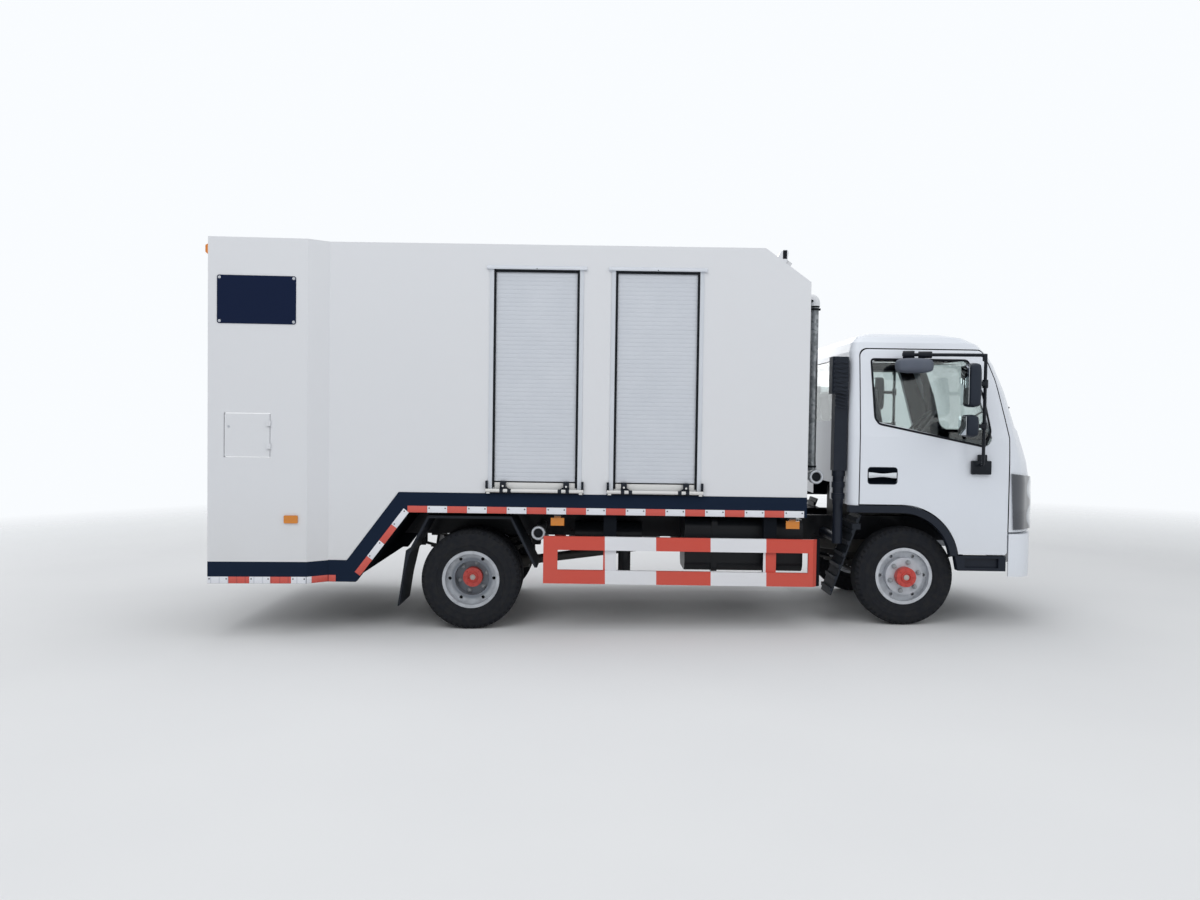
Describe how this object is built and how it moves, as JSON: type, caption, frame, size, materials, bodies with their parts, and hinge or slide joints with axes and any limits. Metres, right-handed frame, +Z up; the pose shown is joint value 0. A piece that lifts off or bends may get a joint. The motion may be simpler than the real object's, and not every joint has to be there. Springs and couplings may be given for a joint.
{
  "type": "bin washing truck",
  "caption": "Light cab-over truck with a shuttered washing body, a flared open rear housing and a bin lift with a tipping comb.",
  "frame": {"origin": "on the ground under the middle of the overall length, on the truck's centre line", "axes": "+X forward, +Y to the driver's left, +Z up"},
  "size_m": [6.3122, 2.66, 2.9163],
  "materials": {
    "black_plastic": "matt",
    "black_rubber": "matt",
    "cab_glass": "gloss",
    "chassis_black": "satin",
    "dash_plastic": "matt",
    "frame_silver": "satin",
    "galvanised": "satin",
    "guard_paint": "satin",
    "lamp_lens": "gloss",
    "lift_steel": "satin",
    "navy_paint": "gloss",
    "pump_blue": "satin",
    "seat_fabric": "matt",
    "shutter_grey": "satin",
    "steel_grey": "satin",
    "tank_plastic": "satin",
    "tape_band": "satin",
    "tyre_rubber": "matt",
    "wheel_silver": "satin",
    "white_paint": "gloss"
  },
  "bodies": {
    "chassis": {"chassis_frame": "chassis_black", "leaf_springs": "steel_grey", "front_axle": "chassis_black", "rear_axle": "chassis_black", "drive_train": "steel_grey", "exhaust": "galvanised", "fuel_tank": "galvanised", "battery_box": "black_plastic", "air_tank": "chassis_black", "body_bearers": "chassis_black", "body_sill": "tape_band", "box_shell": "white_paint", "rear_housing": "white_paint", "side_panels": "navy_paint", "shutter_frames": "frame_silver", "curtain_left_front": "shutter_grey", "curtain_left_rear": "shutter_grey", "curtain_right_front": "shutter_grey", "curtain_right_rear": "shutter_grey", "water_tank": "tank_plastic", "wash_pump": "pump_blue", "lift_mast": "lift_steel", "side_guards": "guard_paint", "mudguards": "black_plastic", "pipework": "galvanised", "body_lamps": "lamp_lens", "air_intake": "black_plastic"},
    "cab": {"cab_shell": "white_paint", "cab_glass": "cab_glass", "cab_trim": "black_plastic", "grille": "black_plastic", "headlamps": "lamp_lens", "seats": "seat_fabric", "dashboard": "dash_plastic", "front_bumper": "white_paint"},
    "left_door": {"door_left": "white_paint", "door_glass_left": "cab_glass", "mirror_left": "black_plastic"},
    "right_door": {"door_right": "white_paint", "door_glass_right": "cab_glass", "mirror_right": "black_plastic"},
    "left_knuckle": {"knuckle_left": "steel_grey"},
    "right_knuckle": {"knuckle_right": "steel_grey"},
    "left_front_wheel": {"wheel_front_left": "wheel_silver", "tyre_front_left": "tyre_rubber"},
    "right_front_wheel": {"wheel_front_right": "wheel_silver", "tyre_front_right": "tyre_rubber"},
    "left_rear_wheels": {"wheels_rear_left": "wheel_silver", "tyres_rear_left": "tyre_rubber"},
    "right_rear_wheels": {"wheels_rear_right": "wheel_silver", "tyres_rear_right": "tyre_rubber"},
    "steering_link": {"track_rod": "steel_grey"},
    "lift_slide": {"lift_carriage": "lift_steel"},
    "tipping_comb": {"bin_comb": "lift_steel"},
    "hatch": {"side_hatch": "white_paint"},
    "left_rear_shutter": {"shutter_rail_left_rear": "black_rubber"},
    "left_front_shutter": {"shutter_rail_left_front": "black_rubber"},
    "right_rear_shutter": {"shutter_rail_right_rear": "black_rubber"},
    "right_front_shutter": {"shutter_rail_right_front": "black_rubber"}
  },
  "joints": [
    {"name": "steer_left", "type": "hinge", "parent": "chassis", "child": "left_knuckle", "pos_m": [2.03866, 0.668, 0.376], "axis": [0, 0, 1], "range_deg": [-33, 33]},
    {"name": "steer_right", "type": "hinge", "parent": "chassis", "child": "right_knuckle", "pos_m": [2.03866, -0.668, 0.376], "axis": [0, 0, 1], "range_deg": [-33, 33]},
    {"name": "spin_front_left", "type": "hinge", "parent": "left_knuckle", "child": "left_front_wheel", "pos_m": [2.03866, 0.768, 0.376], "axis": [0, 1, 0], "continuous": true},
    {"name": "spin_front_right", "type": "hinge", "parent": "right_knuckle", "child": "right_front_wheel", "pos_m": [2.03866, -0.768, 0.376], "axis": [0, 1, 0], "continuous": true},
    {"name": "spin_rear_left", "type": "hinge", "parent": "chassis", "child": "left_rear_wheels", "pos_m": [-1.26934, 0.748, 0.376], "axis": [0, 1, 0], "continuous": true},
    {"name": "spin_rear_right", "type": "hinge", "parent": "chassis", "child": "right_rear_wheels", "pos_m": [-1.26934, -0.748, 0.376], "axis": [0, 1, 0], "continuous": true},
    {"name": "track_rod_shift", "type": "slide", "parent": "chassis", "child": "steering_link", "axis": [0, -1, 0], "range_m": [-0.0713, 0.0713]},
    {"name": "cab_tilt", "type": "hinge", "parent": "chassis", "child": "cab", "pos_m": [3.0339, 0, 0.54666], "axis": [0, 1, 0], "range_deg": [0, 45]},
    {"name": "door_left_swing", "type": "hinge", "parent": "cab", "child": "left_door", "pos_m": [2.80303, 0.944, 1.18678], "axis": [-0.0175, 0, -0.9998], "range_deg": [0, 68]},
    {"name": "door_right_swing", "type": "hinge", "parent": "cab", "child": "right_door", "pos_m": [2.80303, -0.944, 1.18678], "axis": [0.0175, 0, 0.9998], "range_deg": [0, 68]},
    {"name": "shutter_left_rear", "type": "slide", "parent": "chassis", "child": "left_rear_shutter", "axis": [0.0175, 0, 0.9998], "range_m": [0, 1.45], "deforming": ["curtain_left_rear"]},
    {"name": "shutter_left_front", "type": "slide", "parent": "chassis", "child": "left_front_shutter", "axis": [0.0175, 0, 0.9998], "range_m": [0, 1.45], "deforming": ["curtain_left_front"]},
    {"name": "shutter_right_rear", "type": "slide", "parent": "chassis", "child": "right_rear_shutter", "axis": [0.0175, 0, 0.9998], "range_m": [0, 1.45], "deforming": ["curtain_right_rear"]},
    {"name": "shutter_right_front", "type": "slide", "parent": "chassis", "child": "right_front_shutter", "axis": [0.0175, 0, 0.9998], "range_m": [0, 1.45], "deforming": ["curtain_right_front"]},
    {"name": "lift_travel", "type": "slide", "parent": "chassis", "child": "lift_slide", "axis": [0.0175, 0, 0.9998], "range_m": [0, 1.15]},
    {"name": "comb_tip", "type": "hinge", "parent": "lift_slide", "child": "tipping_comb", "pos_m": [-2.9611, 0, 1.05736], "axis": [0, 1, 0], "range_deg": [0, 90]},
    {"name": "hatch_swing", "type": "hinge", "parent": "chassis", "child": "hatch", "pos_m": [-2.6921, -1.18702, 1.47573], "axis": [0.0175, 0, 0.9998], "range_deg": [0, 110]}
  ],
  "couplings": [
    {"joint": "steer_right", "follows": "steer_left", "ratio": 1},
    {"joint": "track_rod_shift", "follows": "steer_left", "m_per_rad": 0.12293}
  ]
}
